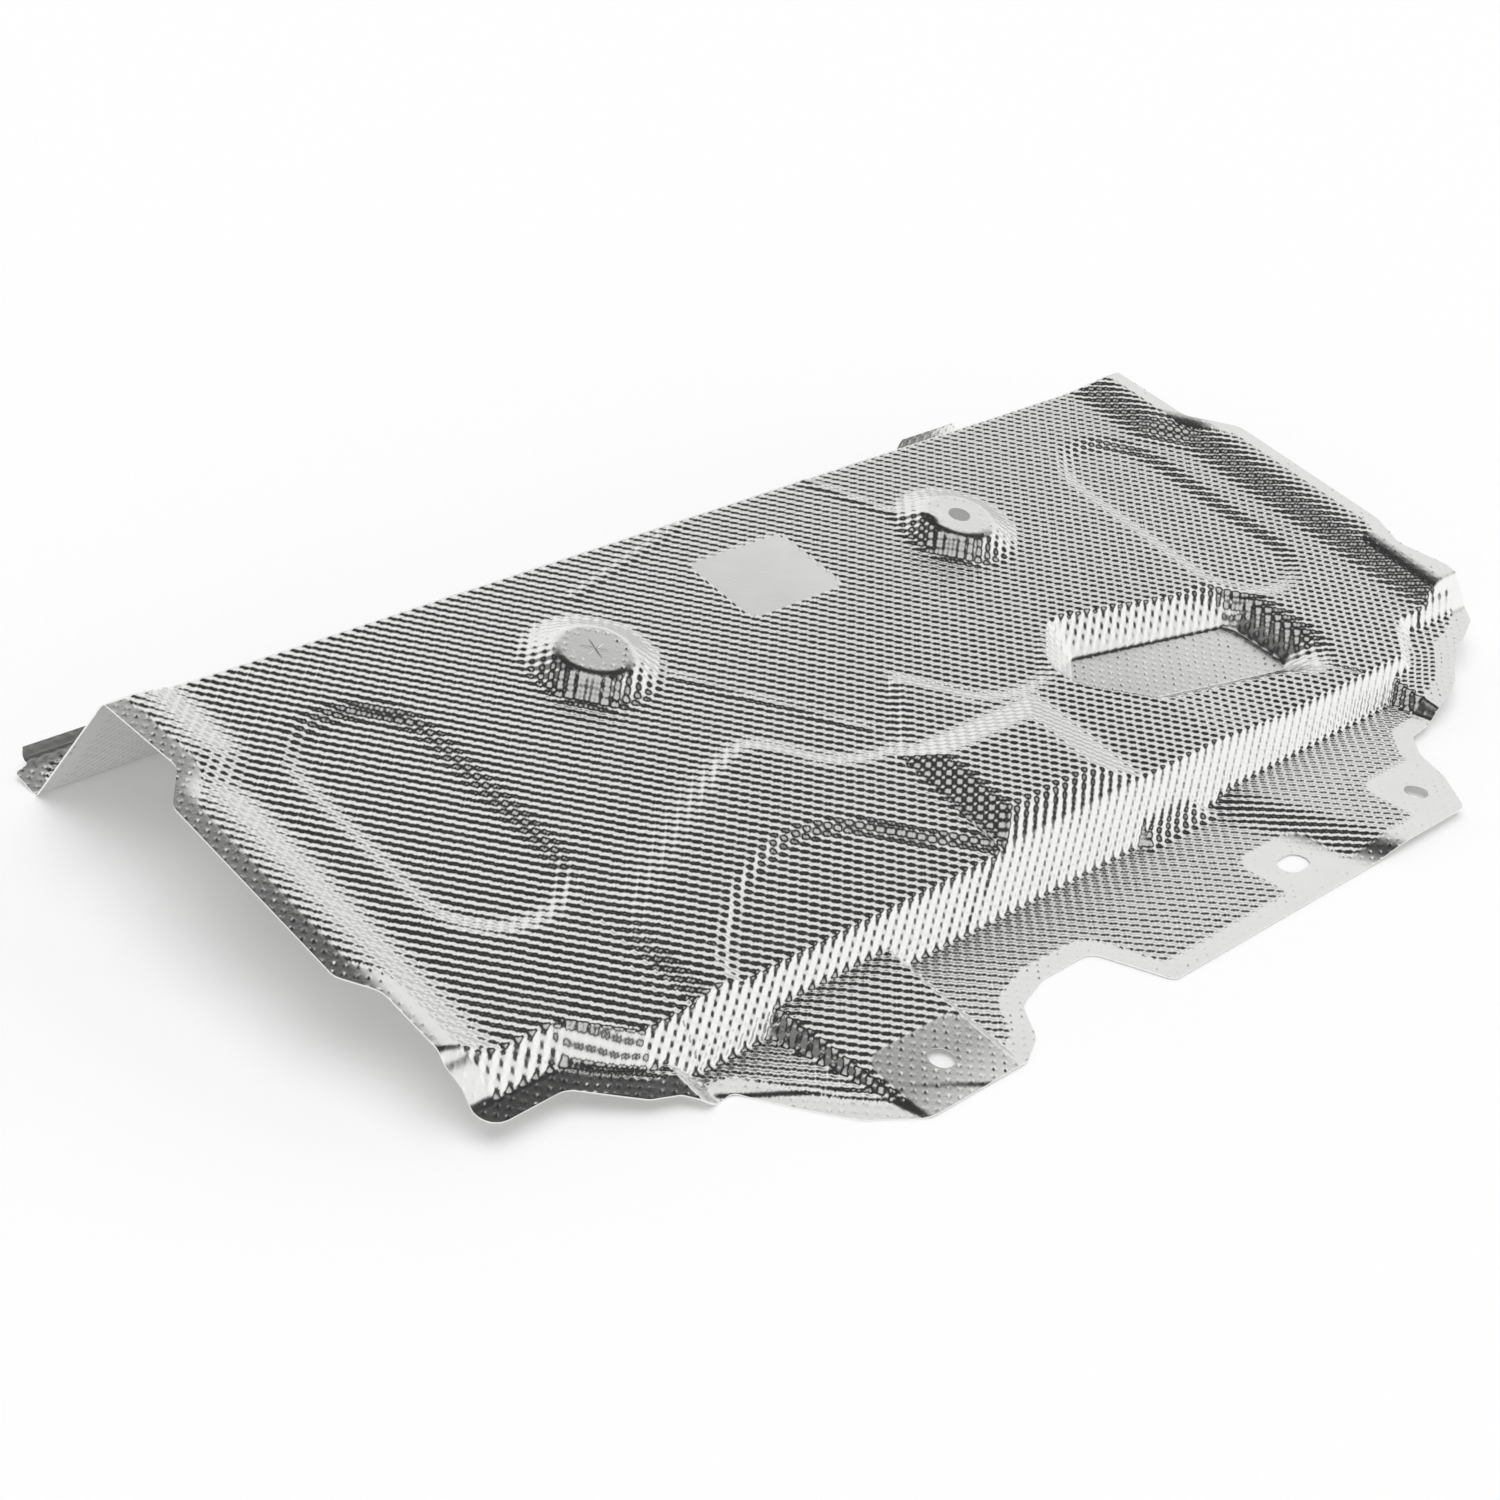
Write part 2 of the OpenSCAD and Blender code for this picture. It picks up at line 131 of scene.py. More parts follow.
WAVE_REAR = [(-114, -92), (-114, -63), (-104, -40), (-75, -21), (-40, -4), (-14, 6), (2, 9.5), (15, 2),
             (28, -13), (45, -21), (62, -21), (74, -8), (91, 11), (104, 2), (117, -13), (134, -21),
             (156, -19), (172, -5), (190, 0), (215, -20), (240, -40)]
WAVE_FRONT = [(-114, -125), (-95, -105), (-84, -83), (-60, -62), (-31, -49), (-10, -49), (11, -58),
              (28, -75), (41, -83), (54, -97), (66, -125), (240, -125)]

STAR_R, STAR_W, STAR_H = 6.4, 1.4, 0.6
DENTS = [((7, 54), (58, -10), 0.35, 2.6), ((162, 143), (193, 84), 0.5, 3.2), ((3, 116), (86, 138), 0.4, 2.6),
         ((284, -69), (303, -92), -0.45, 1.2)]

# Embossing: one nub per cell of a square lattice turned by 45 degrees to the sheet's edges
PITCH = 4.2
CELL = PITCH * math.sqrt(2)
METAL_T, HEM_T = 0.3, 0.35
NUB = ((1, 1, 0.325), (3, 1, 0.02), (1, 3, -0.034), (3, 3, 0.017))
DOT_H, DOT_SPREAD = 0.15, 0.16
# Rows of nubs wander by about this much in mm, and the nubs differ in height by this share
WANDER, UNEVEN = 0.16, 0.07

# Looks
METAL_COLOUR, METAL_ROUGHNESS = (0.92, 0.92, 0.905, 1), (0.12, 0.22)
FLOOR_COLOUR, FLOOR_GLOW, FLOOR_HALF = (0.88, 0.88, 0.88, 1), 0.12, 60.0
LAMP_ENERGY, LAMP_ANGLE = 1.72, 70
ROOM_DARKEST = 0.03


# Shape of the sheet
def plane(X, Y, p, azimuth, slope):
    """Height of a plane through p that falls by slope toward azimuth."""
    a = math.radians(azimuth)
    return p[2] - tan(slope) * ((X - p[0]) * math.cos(a) + (Y - p[1]) * math.sin(a))


def low(a, b, k):
    """Lower of two heights, rounded where they meet."""
    h = np.clip(0.5 + 0.5 * (b - a) / k, 0, 1)
    return b + (a - b) * h - k * h * (1 - h)


def high(a, b, k):
    return -low(-a, -b, k)


def placed(pts, x, y):
    return [(x + a, y + b, r) for a, b, r in pts]


def rounded_loop(pts, n):
    out = []
    for i in range(len(pts)):
        a, b, c = (np.array(pts[j % len(pts)][:2], float) for j in (i - 1, i, i + 1))
        r = pts[i][2]
        u, v = (a - b) / np.linalg.norm(a - b), (c - b) / np.linalg.norm(c - b)
        half = math.acos(max(-1, min(1, float(u @ v)))) / 2
        mid = (u + v) / np.linalg.norm(u + v)
        centre = b + mid * r / math.sin(half)
        sweep = math.pi / 2 - half
        side = math.copysign(1, u[0] * v[1] - u[1] * v[0])
        for k in range(n + 1):
            g = side * sweep * (1 - 2 * k / n)
            out.append(centre - r * np.array([mid[0] * math.cos(g) - mid[1] * math.sin(g),
                                              mid[0] * math.sin(g) + mid[1] * math.cos(g)]))
    return np.array(out)


def spline(pts, n=4):
    pts = [np.array(p, float) for p in pts]
    last = len(pts) - 1
    out = []
    for i in range(last):
        a, b, c, e = pts[max(i - 1, 0)], pts[i], pts[i + 1], pts[min(i + 2, last)]
        for k in range(n):
            s = k / n
            out.append((2 * b + (c - a) * s + (2 * a - 5 * b + 4 * c - e) * s * s
                        + (3 * b - a - 3 * c + e) * s ** 3) / 2)
    return np.array(out + [pts[last]])


def distance(X, Y, loop):
    """Distance to a closed outline, above zero inside."""
    P = np.stack([np.ravel(X), np.ravel(Y)], -1)
    out = np.empty(len(P))
    A, B = loop, np.roll(loop, -1, 0)
    keep = np.linalg.norm(B - A, axis=1) > 1e-9
    A, B = A[keep], B[keep]
    D = B - A
    L2 = (D ** 2).sum(1)
    for i in range(0, len(P), 20000):
        q = P[i:i + 20000, None, :]
        t = np.clip(((q - A) * D).sum(2) / L2, 0, 1)
        d2 = ((q - A - t[..., None] * D) ** 2).sum(2).min(1)
        yq, xq = q[..., 1], q[..., 0]
        crosses = (A[:, 1] > yq) != (B[:, 1] > yq)
        with np.errstate(divide="ignore", invalid="ignore"):
            xc = A[:, 0] + (yq - A[:, 1]) / (B[:, 1] - A[:, 1]) * D[:, 0]
        inside = (crosses & (xq < xc)).sum(1) % 2 == 1
        out[i:i + 20000] = np.where(inside, 1, -1) * np.sqrt(d2)
    return out.reshape(np.shape(X))


OUTLINE = rounded_loop(
    placed(LEFT_SIDE, -PANEL_LEFT, 0) + placed(LEFT_CORNER, -PANEL_LEFT, FOLD_Y)
    + placed(LEFT_FLANGE, -PANEL_LEFT, FRONT_Y) + placed(RIGHT_FLANGE, PANEL_RIGHT, FRONT_Y)
    + placed(RIGHT_CORNER, PANEL_RIGHT, FOLD_Y) + placed(RIGHT_SIDE, PANEL_RIGHT, 0), 6)


def stadium(X, Y, at, reach):
    return np.hypot(X - at[0], np.maximum(np.abs(Y - at[1]) - reach, 0))


def slot_distance(X, Y):
    past = np.maximum(np.abs(X - SLOT_TWO[0]) - (SLOT_L - HOLE_D) / 2, 0)
    return HOLE_D / 2 - np.hypot(past, Y - SLOT_TWO[1])


def pocket_floor():
    pts = []
    for x, y, r in POCKET:
        for k in range(48):
            g = 2 * math.pi * k / 48
            pts.append((x + r * math.cos(g), y + r * math.sin(g)))
    pts = sorted(pts)

    def half(ps):
        h = []
        for p in ps:
            while len(h) > 1 and ((h[-1][0] - h[-2][0]) * (p[1] - h[-2][1])
                                  - (h[-1][1] - h[-2][1]) * (p[0] - h[-2][0])) <= 0:
                h.pop()
            h.append(p)
        return h
    return np.array(half(pts)[:-1] + half(pts[::-1])[:-1])


POCKET_FLOOR = pocket_floor()


class Grid:
    """A value kept on a fine grid and read off between its points."""

    def __init__(self, f, x0, x1, y0, y1, step):
        self.x0, self.y0, self.step = x0, y0, step
        xs, ys = np.arange(x0, x1 + step, step), np.arange(y0, y1 + step, step)
        X, Y = np.meshgrid(xs, ys, indexing="ij")
        self.v = f(X, Y)

    def __call__(self, X, Y):
        u = np.clip((X - self.x0) / self.step, 0, self.v.shape[0] - 1.001)
        w = np.clip((Y - self.y0) / self.step, 0, self.v.shape[1] - 1.001)
        i, j = u.astype(int), w.astype(int)
        a, b = u - i, w - j
        v = self.v
        return (v[i, j] * (1 - a) * (1 - b) + v[i + 1, j] * a * (1 - b)
                + v[i, j + 1] * (1 - a) * b + v[i + 1, j + 1] * a * b)


edge_near = Grid(lambda X, Y: distance(X, Y, OUTLINE), -225, 420, -185, 205, 1.5)
pocket_near = Grid(lambda X, Y: -distance(X, Y, POCKET_FLOOR), 150, 330, -94, 24, 1.0)
wave_rear, wave_front = spline(WAVE_REAR), spline(WAVE_FRONT)


def beyond(X, Y, curve):
    """Distance behind a curve that runs from left to right, square to it."""
    lean = np.interp(X, (curve[1:, 0] + curve[:-1, 0]) / 2,
                     np.diff(curve[:, 1]) / np.maximum(np.diff(curve[:, 0]), 0.5))
    return (Y - np.interp(X, curve[:, 0], curve[:, 1])) / np.sqrt(1 + lean ** 2)


def profile(Y, rise):
    rear = WALL_DROP / (VALLEY_Y - RIDGE_Y) * (RIDGE_Y - Y)
    rear = high(rear, np.full_like(Y, -WALL_DROP), VALLEY_ROUND)
    front = (Y - FOLD_Y) * tan(FRONT_SLOPE)
    floor = (FOOT_Y - Y) * tan(TILT) - FRONT_DROP
    front = np.where(Y < 0, high(front, floor, CREASE), front)
    z = low(rear, np.full_like(Y, rise), RIDGE_ROUND)
    return low(z, front, FOLD_ROUND)


def corner_room(X, Y, side, x_slant):
    a = plane(X, Y, (0, CORNER_FOLD_Y, 0), -90, FRONT_SLOPE)
    b = plane(X, Y, (x_slant, SLANT_Y, 0), -129 if side < 0 else -51, FRONT_SLOPE)
    return high(a, b, CORNER_ROUND)


def by_pocket(X, Y):
    x0, x1, y0, y1 = POCKET_BOX
    return (X > x0) & (X < x1) & (Y > y0) & (Y < y1)


def form(X, Y):
    """Height of the top face over the panel's own frame."""
    cl = corner_room(X, Y, -1, 68.5 - PANEL_LEFT)
    cr = corner_room(X, Y, 1, PANEL_RIGHT - 68)
    z = low(low(profile(Y, 0.0), cl, CREASE), cr, CREASE)
    slope = math.degrees(math.atan(END_RISE / END_RAMP))
    for side, foot, step, room in ((-1, LEFT_RAMP, LEFT_STEP, cl), (1, RIGHT_RAMP, RIGHT_STEP, cr)):
        facing = 0 if side < 0 else 180
        outer = plane(X, Y, (foot[0], 0, 0), facing, slope)
        inner = plane(X, Y, (foot[0] + step[0], 0, 0), facing, slope)
        turn = math.degrees(math.atan2(step[1], step[0])) + side * 90
        climb = high(outer, low(inner, plane(X, Y, (*foot, 0), turn, slope), CREASE), CREASE)
        end = low(low(profile(Y, END_RISE), climb, END_TOP_ROUND), room, CREASE)
        apart = np.clip(profile(Y, END_RISE) - profile(Y, 0.0), 0, 1)
        z = np.maximum(z, end) * (1 - apart) + high(z, end, END_FOOT_ROUND) * apart
    front = Y < FOLD_Y + 5
    rim_one = low(np.full_like(X, -9.0), plane(X, Y, (85.5 - PANEL_LEFT, 0, -9.0), 0, RIM_SLOPE), RIM_ROUND)
    rim_two = low(np.full_like(X, -5.0), plane(X, Y, (PANEL_RIGHT - 92, 0, -5.0), 180, RIM_SLOPE), RIM_ROUND)
    for rim in (rim_one, rim_two):
        z = np.where(Y < CORNER_FOLD_Y + 2, high(z, rim, CREASE), z)
    floor = (FOOT_Y - Y) * tan(TILT) - FRONT_DROP
    z = np.where(front, high(z, floor, CREASE), z)

    for at in (BOSS_ONE, BOSS_TWO):
        r = np.hypot(X - at[0], Y - at[1])
        cone = BOSS_H - (r - BOSS_TOP_D / 2) * 2 * BOSS_H / (BOSS_D - BOSS_TOP_D)
        boss = high(z, low(np.full_like(X, BOSS_H), cone, CREASE), BOSS_ROUND)
        z = np.where(r < BOSS_D / 2 + BOSS_REACH, boss, z)

    wx0, wx1 = WAVE_REAR[0][0], WAVE_REAR[-1][0]
    top = np.minimum(WAVE_H, (WAVE_END - X) * WAVE_H / WAVE_FADE)
    rear = -beyond(X, Y, wave_rear)
    ahead = beyond(X, Y, wave_front)
    run = WAVE_RUN_SIDE + (WAVE_RUN_REAR - WAVE_RUN_SIDE) * ramp(X, -70, -5)
    wave = low(low(low(rear / run, top, WAVE_ROUND), ahead / WAVE_RUN_FRONT, WAVE_ROUND),
               plane(X, Y, (0, FOLD_Y, 0), -90, FRONT_SLOPE), 1.2)
    wave = np.minimum(wave, (X - wx0 + 4) / WAVE_RUN_SIDE)
    z = np.where((X > wx0 - 6) & (X < wx1) & (Y < 30), high(z, wave, 1.0), z)

    block = np.full_like(X, BLOCK_H)
    for p, az, sl in (((68, -62, BLOCK_H), 180, 25), ((94, -44, BLOCK_H), 90, 25),
                      ((121, -62, BLOCK_H), 0, 18), ((94, -81, BLOCK_H), -90, 28),
                      ((94, FOLD_Y, 0), -90, FRONT_SLOPE)):
        block = low(block, plane(X, Y, p, az, sl), CREASE)
    z = high(z, block, CREASE)

    side_z = 5 - PAD_ONE_DROP
    one = plane(X, Y, (0, PAD_ONE_FOOT, -PAD_ONE_DROP), 90, PAD_ONE_SLOPE)
    one = low(one, plane(X, Y, (143.5 - PANEL_LEFT, 0, side_z), 180, 40), PAD_ROUND)
    one = low(one, plane(X, Y, (193.5 - PANEL_LEFT, 0, side_z), 0, 50), PAD_ROUND)
    ramp_y = FRONT_Y + 38
    three = plane(X, Y, (0, PAD_THREE_FOOT, -PAD_THREE_DROP), 90, TILT)
    three = low(three, plane(X, Y, (PANEL_RIGHT - 234.5, ramp_y, (FOOT_Y - ramp_y) * tan(TILT) - FRONT_DROP),
                             150, 11.7), 1.2)
    top_z = 6 - FRONT_DROP
    gusset = plane(X, Y, (0, FOLD_Y - 10, top_z), -90, 22)
    gusset = low(gusset, plane(X, Y, (PANEL_RIGHT - 280, 0, top_z), 180, 35), CREASE)
    gusset = low(gusset, plane(X, Y, (PANEL_RIGHT - 252, 0, top_z), 0, 25), CREASE)
    for pad in (one, three, gusset):
        z = np.where(front, high(z, pad, CREASE), z)

    for at in (RECESS_ONE, RECESS_TWO):
        r = stadium(X, Y, at, (RECESS_L - RECESS_W) / 2)
        cut = (r - (RECESS_W / 2 - RECESS_WALL)) * RECESS_H / RECESS_WALL - RECESS_H
        z = low(z, high(np.full_like(X, -RECESS_H), cut, 1.0), 1.0)
    near = by_pocket(X, Y)
    cut = high(-POCKET_H + POCKET_LEAN * (X - 230), pocket_near(X, Y) - POCKET_H, 0.9)
    mouth = 1.8 + 7.0 * ramp(X, 262, 292)
    return np.where(near, low(z, cut, mouth), z) + dents(X, Y)


# Length along the middle profile, so that the embossing keeps its size on every fold
ys = np.arange(FRONT_Y - 3, REAR_Y + 3, 0.05)
zs = profile(ys, 0.0)
arc = np.concatenate([[0], np.cumsum(np.hypot(np.diff(ys), np.diff(zs)))])
arc -= np.interp(0.0, ys, arc)


def y_of(S):
    return np.interp(S, arc, ys)


def ramp(v, a, b):
    t = np.clip((v - a) / (b - a), 0, 1)
    return t * t * (3 - 2 * t)


def box_distance(X, Y, x0, y0, x1, y1, r):
    dx = np.abs(X - (x0 + x1) / 2) - (x1 - x0) / 2 + r
    dy = np.abs(Y - (y0 + y1) / 2) - (y1 - y0) / 2 + r
    return np.hypot(np.maximum(dx, 0), np.maximum(dy, 0)) + np.minimum(np.maximum(dx, dy), 0) - r


def masks(X, Y):
    """Share of full nubs, and share of the small dots left where the sheet is flattened."""
    full = ramp(edge_near(X, Y), 8.2, 10.0)
    dots = np.ones_like(X)
    full = full * ramp(box_distance(X, Y, -230, -72, -200, -30, 4), -1.0, 1.0)
    full = full * ramp(box_distance(X, Y, 391.5, -72, 430, -24, 4), -1.0, 1.0)
    for x0, x1, y1 in ((-73, -22, -141), (149, 190, -141), (239, 290, -140)):
        full = full * ramp(box_distance(X, Y, x0, -190, x1, y1, 10), -0.5, 2.0)
    for at in (BOSS_ONE, BOSS_TWO):
        r = np.hypot(X - at[0], Y - at[1])
        full = full * ramp(r, 17.0, 20.0)
        dots = dots * ramp(r, 9.0, 12.0)
    patch = box_distance(X, Y, *PATCH, 6.0)
    full = full * ramp(patch, -0.3, 1.6)
    dots = dots * ramp(patch, -1.0, 1.0)
    pocket = pocket_near(X, Y)
    near = by_pocket(X, Y)
    full = np.where(near, full * ramp(pocket, -1.0, 8.0), full)
    return full, dots


def drift(X, S, seed):
    """Slow uneven wave between about -1 and 1."""
    out = 0
    for k in range(5):
        g = seed + 2.399 * k
        c, w = math.cos(g) / (9.0 + 5.3 * k), math.sin(g) / (9.0 + 5.3 * k)
        out = out + np.sin(X * c * 2 * math.pi + S * w * 2 * math.pi + 1.7 * g)
    return out / 3


def nubs(X, S, full, dots):
    u = 2 * np.pi * (X + WANDER * drift(X, S, 0.4)) / CELL
    v = 2 * np.pi * (S + WANDER * drift(X, S, 1.9)) / CELL
    full = full * (1 + UNEVEN * drift(X, S, 3.1))
    wave = sum(h * np.cos(m * u) * np.cos(n * v) for m, n, h in NUB)
    dot = np.exp(-((1 - np.cos(u) * np.cos(v)) / DOT_SPREAD))
    return wave * full + DOT_H * dot * dots * (1 - full)


def segment_distance(X, Y, a, b):
    ax, ay = a
    dx, dy = b[0] - ax, b[1] - ay
    t = np.clip(((X - ax) * dx + (Y - ay) * dy) / (dx * dx + dy * dy), 0, 1)
    return np.hypot(X - ax - t * dx, Y - ay - t * dy)


def dents(X, Y):
    """Soft creases left by handling, as low rounded folds."""
    z = 0
    for a, b, h, w in DENTS:
        z = z + h * np.exp(-(segment_distance(X, Y, a, b) / w) ** 2)
    return z


def surface(X, S, side):
    """Point of the sheet's top (side 1) or underside (side -1), in the panel's frame."""
    Y = y_of(S)
    e = 0.25
    z = form(X, Y)
    gx = (form(X + e, Y) - form(X - e, Y)) / (2 * e)
    gy = (form(X, Y + e) - form(X, Y - e)) / (2 * e)
    n = 1 / np.sqrt(1 + gx ** 2 + gy ** 2)
    full, dots = masks(X, Y)
    rim = HEM_T * (1 - ramp(edge_near(X, Y), 0.6, 2.6)) if side < 0 else 0
    off = -SHEET_T / 2 + side * (METAL_T / 2 + rim) + nubs(X, S, full, dots)
    return np.stack([X - gx * n * off, Y - gy * n * off, z + n * off], -1)


def surface_with_normals(X, S, side):
    e = 0.12
    P = surface(X, S, side)
    N = np.cross(surface(X + e, S, side) - surface(X - e, S, side),
                 surface(X, S + e, side) - surface(X, S - e, side))
    N /= np.linalg.norm(N, axis=-1, keepdims=True)
    return P, N * side


def rest():
    t = math.radians(TILT)
    return np.array([[1, 0, 0], [0, math.cos(t), -math.sin(t)], [0, math.sin(t), math.cos(t)]])


REST = rest()


def to_part(P):
    return np.clip((P @ REST.T - MIDDLE) / 1000, *np.array(cad_box))


def inside(X, S):
    Y = y_of(S)
    d = distance(X, Y, OUTLINE)
    for at in (HOLE_ONE, HOLE_THREE, BOSS_TWO):
        d = np.minimum(d, np.hypot(X - at[0], Y - at[1]) - HOLE_D / 2)
    return np.minimum(d, -slot_distance(X, Y))


def cells(step):
    """Grid over the sheet, cut along the outline: points as x and length, faces and border edges."""
    x0 = CELL * math.floor((-PANEL_LEFT - 4) / CELL)
    s0 = CELL * math.floor(arc[0] / CELL)
    xs = np.arange(x0, PANEL_RIGHT + 4, step)
    ss = s0 + step * np.arange(int((arc[-1] - s0) / step))
    ss = ss[ss > arc[0]]
    X, S = np.meshgrid(xs, ss, indexing="ij")
    D = inside(X, S)
    ins = D > 0
    index = -np.ones(X.shape, int)
    index[ins] = np.arange(ins.sum())
    pts = [np.stack([X[ins], S[ins]], -1)]
    count = int(ins.sum())
    a, b = ins[:-1, :-1], ins[1:, :-1]
    c, d = ins[1:, 1:], ins[:-1, 1:]
    whole = a & b & c & d
    i, j = np.nonzero(whole)
    quads = np.stack([index[i, j], index[i + 1, j], index[i + 1, j + 1], index[i, j + 1]], -1)
    quad_x = xs[i] + step / 2
    part = (a | b | c | d) & ~whole
    extra, seen, odd, odd_x, border = [], {}, [], [], []

    def cut(p, q):
        key = (min(p, q), max(p, q))
        if key not in seen:
            t = D[p] / (D[p] - D[q])
            seen[key] = count + len(extra)
            extra.append(((1 - t) * X[p] + t * X[q], (1 - t) * S[p] + t * S[q]))
        return seen[key]

    for i, j in zip(*np.nonzero(part)):
        ring = [(i, j), (i + 1, j), (i + 1, j + 1), (i, j + 1)]
        poly, mark = [], []
        for k in range(4):
            p, q = ring[k], ring[(k + 1) % 4]
            if ins[p]:
                poly.append(int(index[p]))
                mark.append(0)
            if ins[p] != ins[q]:
                poly.append(cut(p, q) if ins[p] else cut(q, p))
                mark.append(1 if ins[p] else 2)
        if len(poly) < 3:
            continue
        odd.append(poly)
        odd_x.append(xs[i] + step / 2)
        for k in range(len(poly)):
            if mark[k] == 1 and mark[(k + 1) % len(poly)] == 2:
                border.append((poly[k], poly[(k + 1) % len(poly)], xs[i] + step / 2))
    pts.append(np.array(extra).reshape(-1, 2))
    return np.concatenate(pts), quads, quad_x, odd, np.array(odd_x), border


# Finish of the metal
def material(name):
    m = bpy.data.materials.new(name)
    m.use_nodes = True
    nt = m.node_tree
    nt.nodes.clear()
    return m, nt


def node(nt, kind, **values):
    n = nt.nodes.new(kind)
    for k, v in values.items():
        if hasattr(n, k):
            setattr(n, k, v)
        else:
            n.inputs[k].default_value = v
    return n


def aluminium():
    m, nt = material("embossed_aluminium")
    out = nt.nodes.new("ShaderNodeOutputMaterial")
    metal = nt.nodes.new("ShaderNodeBsdfPrincipled")
    metal.inputs["Base Color"].default_value = METAL_COLOUR
    metal.inputs["Metallic"].default_value = 1.0
    where = nt.nodes.new("ShaderNodeTexCoord")
    soft = node(nt, "ShaderNodeTexNoise", Scale=55.0, Detail=4.0, Roughness=0.55)
    nt.links.new(where.outputs["Object"], soft.inputs["Vector"])
    rough = node(nt, "ShaderNodeMapRange")
    rough.inputs["To Min"].default_value, rough.inputs["To Max"].default_value = METAL_ROUGHNESS
    nt.links.new(soft.outputs["Fac"], rough.inputs["Value"])
    nt.links.new(rough.outputs["Result"], metal.inputs["Roughness"])
    grain = node(nt, "ShaderNodeTexNoise", Scale=900.0, Detail=3.0, Roughness=0.6)
    nt.links.new(where.outputs["Object"], grain.inputs["Vector"])
    bump = nt.nodes.new("ShaderNodeBump")
    bump.inputs["Strength"].default_value = 0.12
    bump.inputs["Distance"].default_value = 0.0002
    nt.links.new(grain.outputs["Fac"], bump.inputs["Height"])
    nt.links.new(bump.outputs["Normal"], metal.inputs["Normal"])
    nt.links.new(metal.outputs["BSDF"], out.inputs["Surface"])
    return m


METAL = aluminium()


def make_mesh(name, P, faces, N):
    me = bpy.data.meshes.new(name)
    me.from_pydata(to_part(P).tolist(), [], faces)
    me.materials.append(METAL)
    me.polygons.foreach_set("use_smooth", np.ones(len(me.polygons), bool))
    me.normals_split_custom_set_from_vertices((N @ REST.T).tolist())
    me.update()
    o = bpy.data.objects.new(name, me)
    bpy.context.scene.collection.objects.link(o)
    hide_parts("shield")
    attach(o, "root")
    return o


def sheet():
    names = ["sheet_left", "sheet_mid_left", "sheet_middle", "sheet_mid_right", "sheet_right"]
    bounds_x = np.linspace(-PANEL_LEFT - 1, PANEL_RIGHT + 1, len(names) + 1)
    bounds_x[1:-1] = CELL * np.round(bounds_x[1:-1] / CELL)
    sides = []
    for side, step in ((1, CELL / 6), (-1, CELL / 4)):
        pts, quads, quad_x, odd, odd_x, border = cells(step)
        P, N = surface_with_normals(pts[:, 0], pts[:, 1], side)
        sides.append((pts, quads, quad_x, odd, odd_x, border, P, N))
    for k, name in enumerate(names):
        lo, hi = bounds_x[k], bounds_x[k + 1]
        points, normals, faces, base = [], [], [], 0
        for side, (pts, quads, quad_x, odd, odd_x, border, P, N) in zip((1, -1), sides):
            use = quads[(quad_x > lo) & (quad_x <= hi)]
            more = [p for p, x in zip(odd, odd_x) if lo < x <= hi]
            ids = np.unique(np.concatenate([use.ravel(), np.array([v for p in more for v in p], int)]))
            back = -np.ones(len(pts), int)
            back[ids] = np.arange(len(ids)) + base
            f = back[use].tolist() + [back[p].tolist() for p in more]
            if side < 0:
                f = [q[::-1] for q in f]
            faces += f
            points.append(P[ids])
            normals.append(N[ids])
            base += len(ids)
            if side > 0:
                rim = [(a, b) for a, b, x in border if lo < x <= hi]
        top_pts, top_P = sides[0][0], sides[0][6]
        a = np.array([r[0] for r in rim])
        b = np.array([r[1] for r in rim])
        ring = np.unique(np.concatenate([a, b]))
        back = -np.ones(len(top_pts), int)
        back[ring] = np.arange(len(ring))
        up = top_P[ring]
        down = surface(top_pts[ring, 0], top_pts[ring, 1], -1)
        tangent = np.zeros((len(ring), 3))
        d = top_P[b] - top_P[a]
        np.add.at(tangent, back[a], d)
        np.add.at(tangent, back[b], d)
        out = np.cross(tangent, up - down)
        out /= np.linalg.norm(out, axis=1, keepdims=True) + 1e-12
        n = len(ring)
        points += [up, down]
        normals += [out, out]
        for p, q in zip(back[a], back[b]):
            faces.append([int(base + p), int(base + n + p), int(base + n + q), int(base + q)])
        make_mesh(name, np.concatenate(points), faces, np.concatenate(normals))


def lip_dot(x, z):
    """Height and slopes of the dots on the standing strip."""
    k = 2 * math.pi / CELL
    c, d = math.cos(k * x) * math.cos(k * z), 0.3
    h = 0.25 * math.exp(-(1 - c) / d)
    return h, -h / d * k * math.sin(k * x) * math.cos(k * z), -h / d * k * math.cos(k * x) * math.sin(k * z)


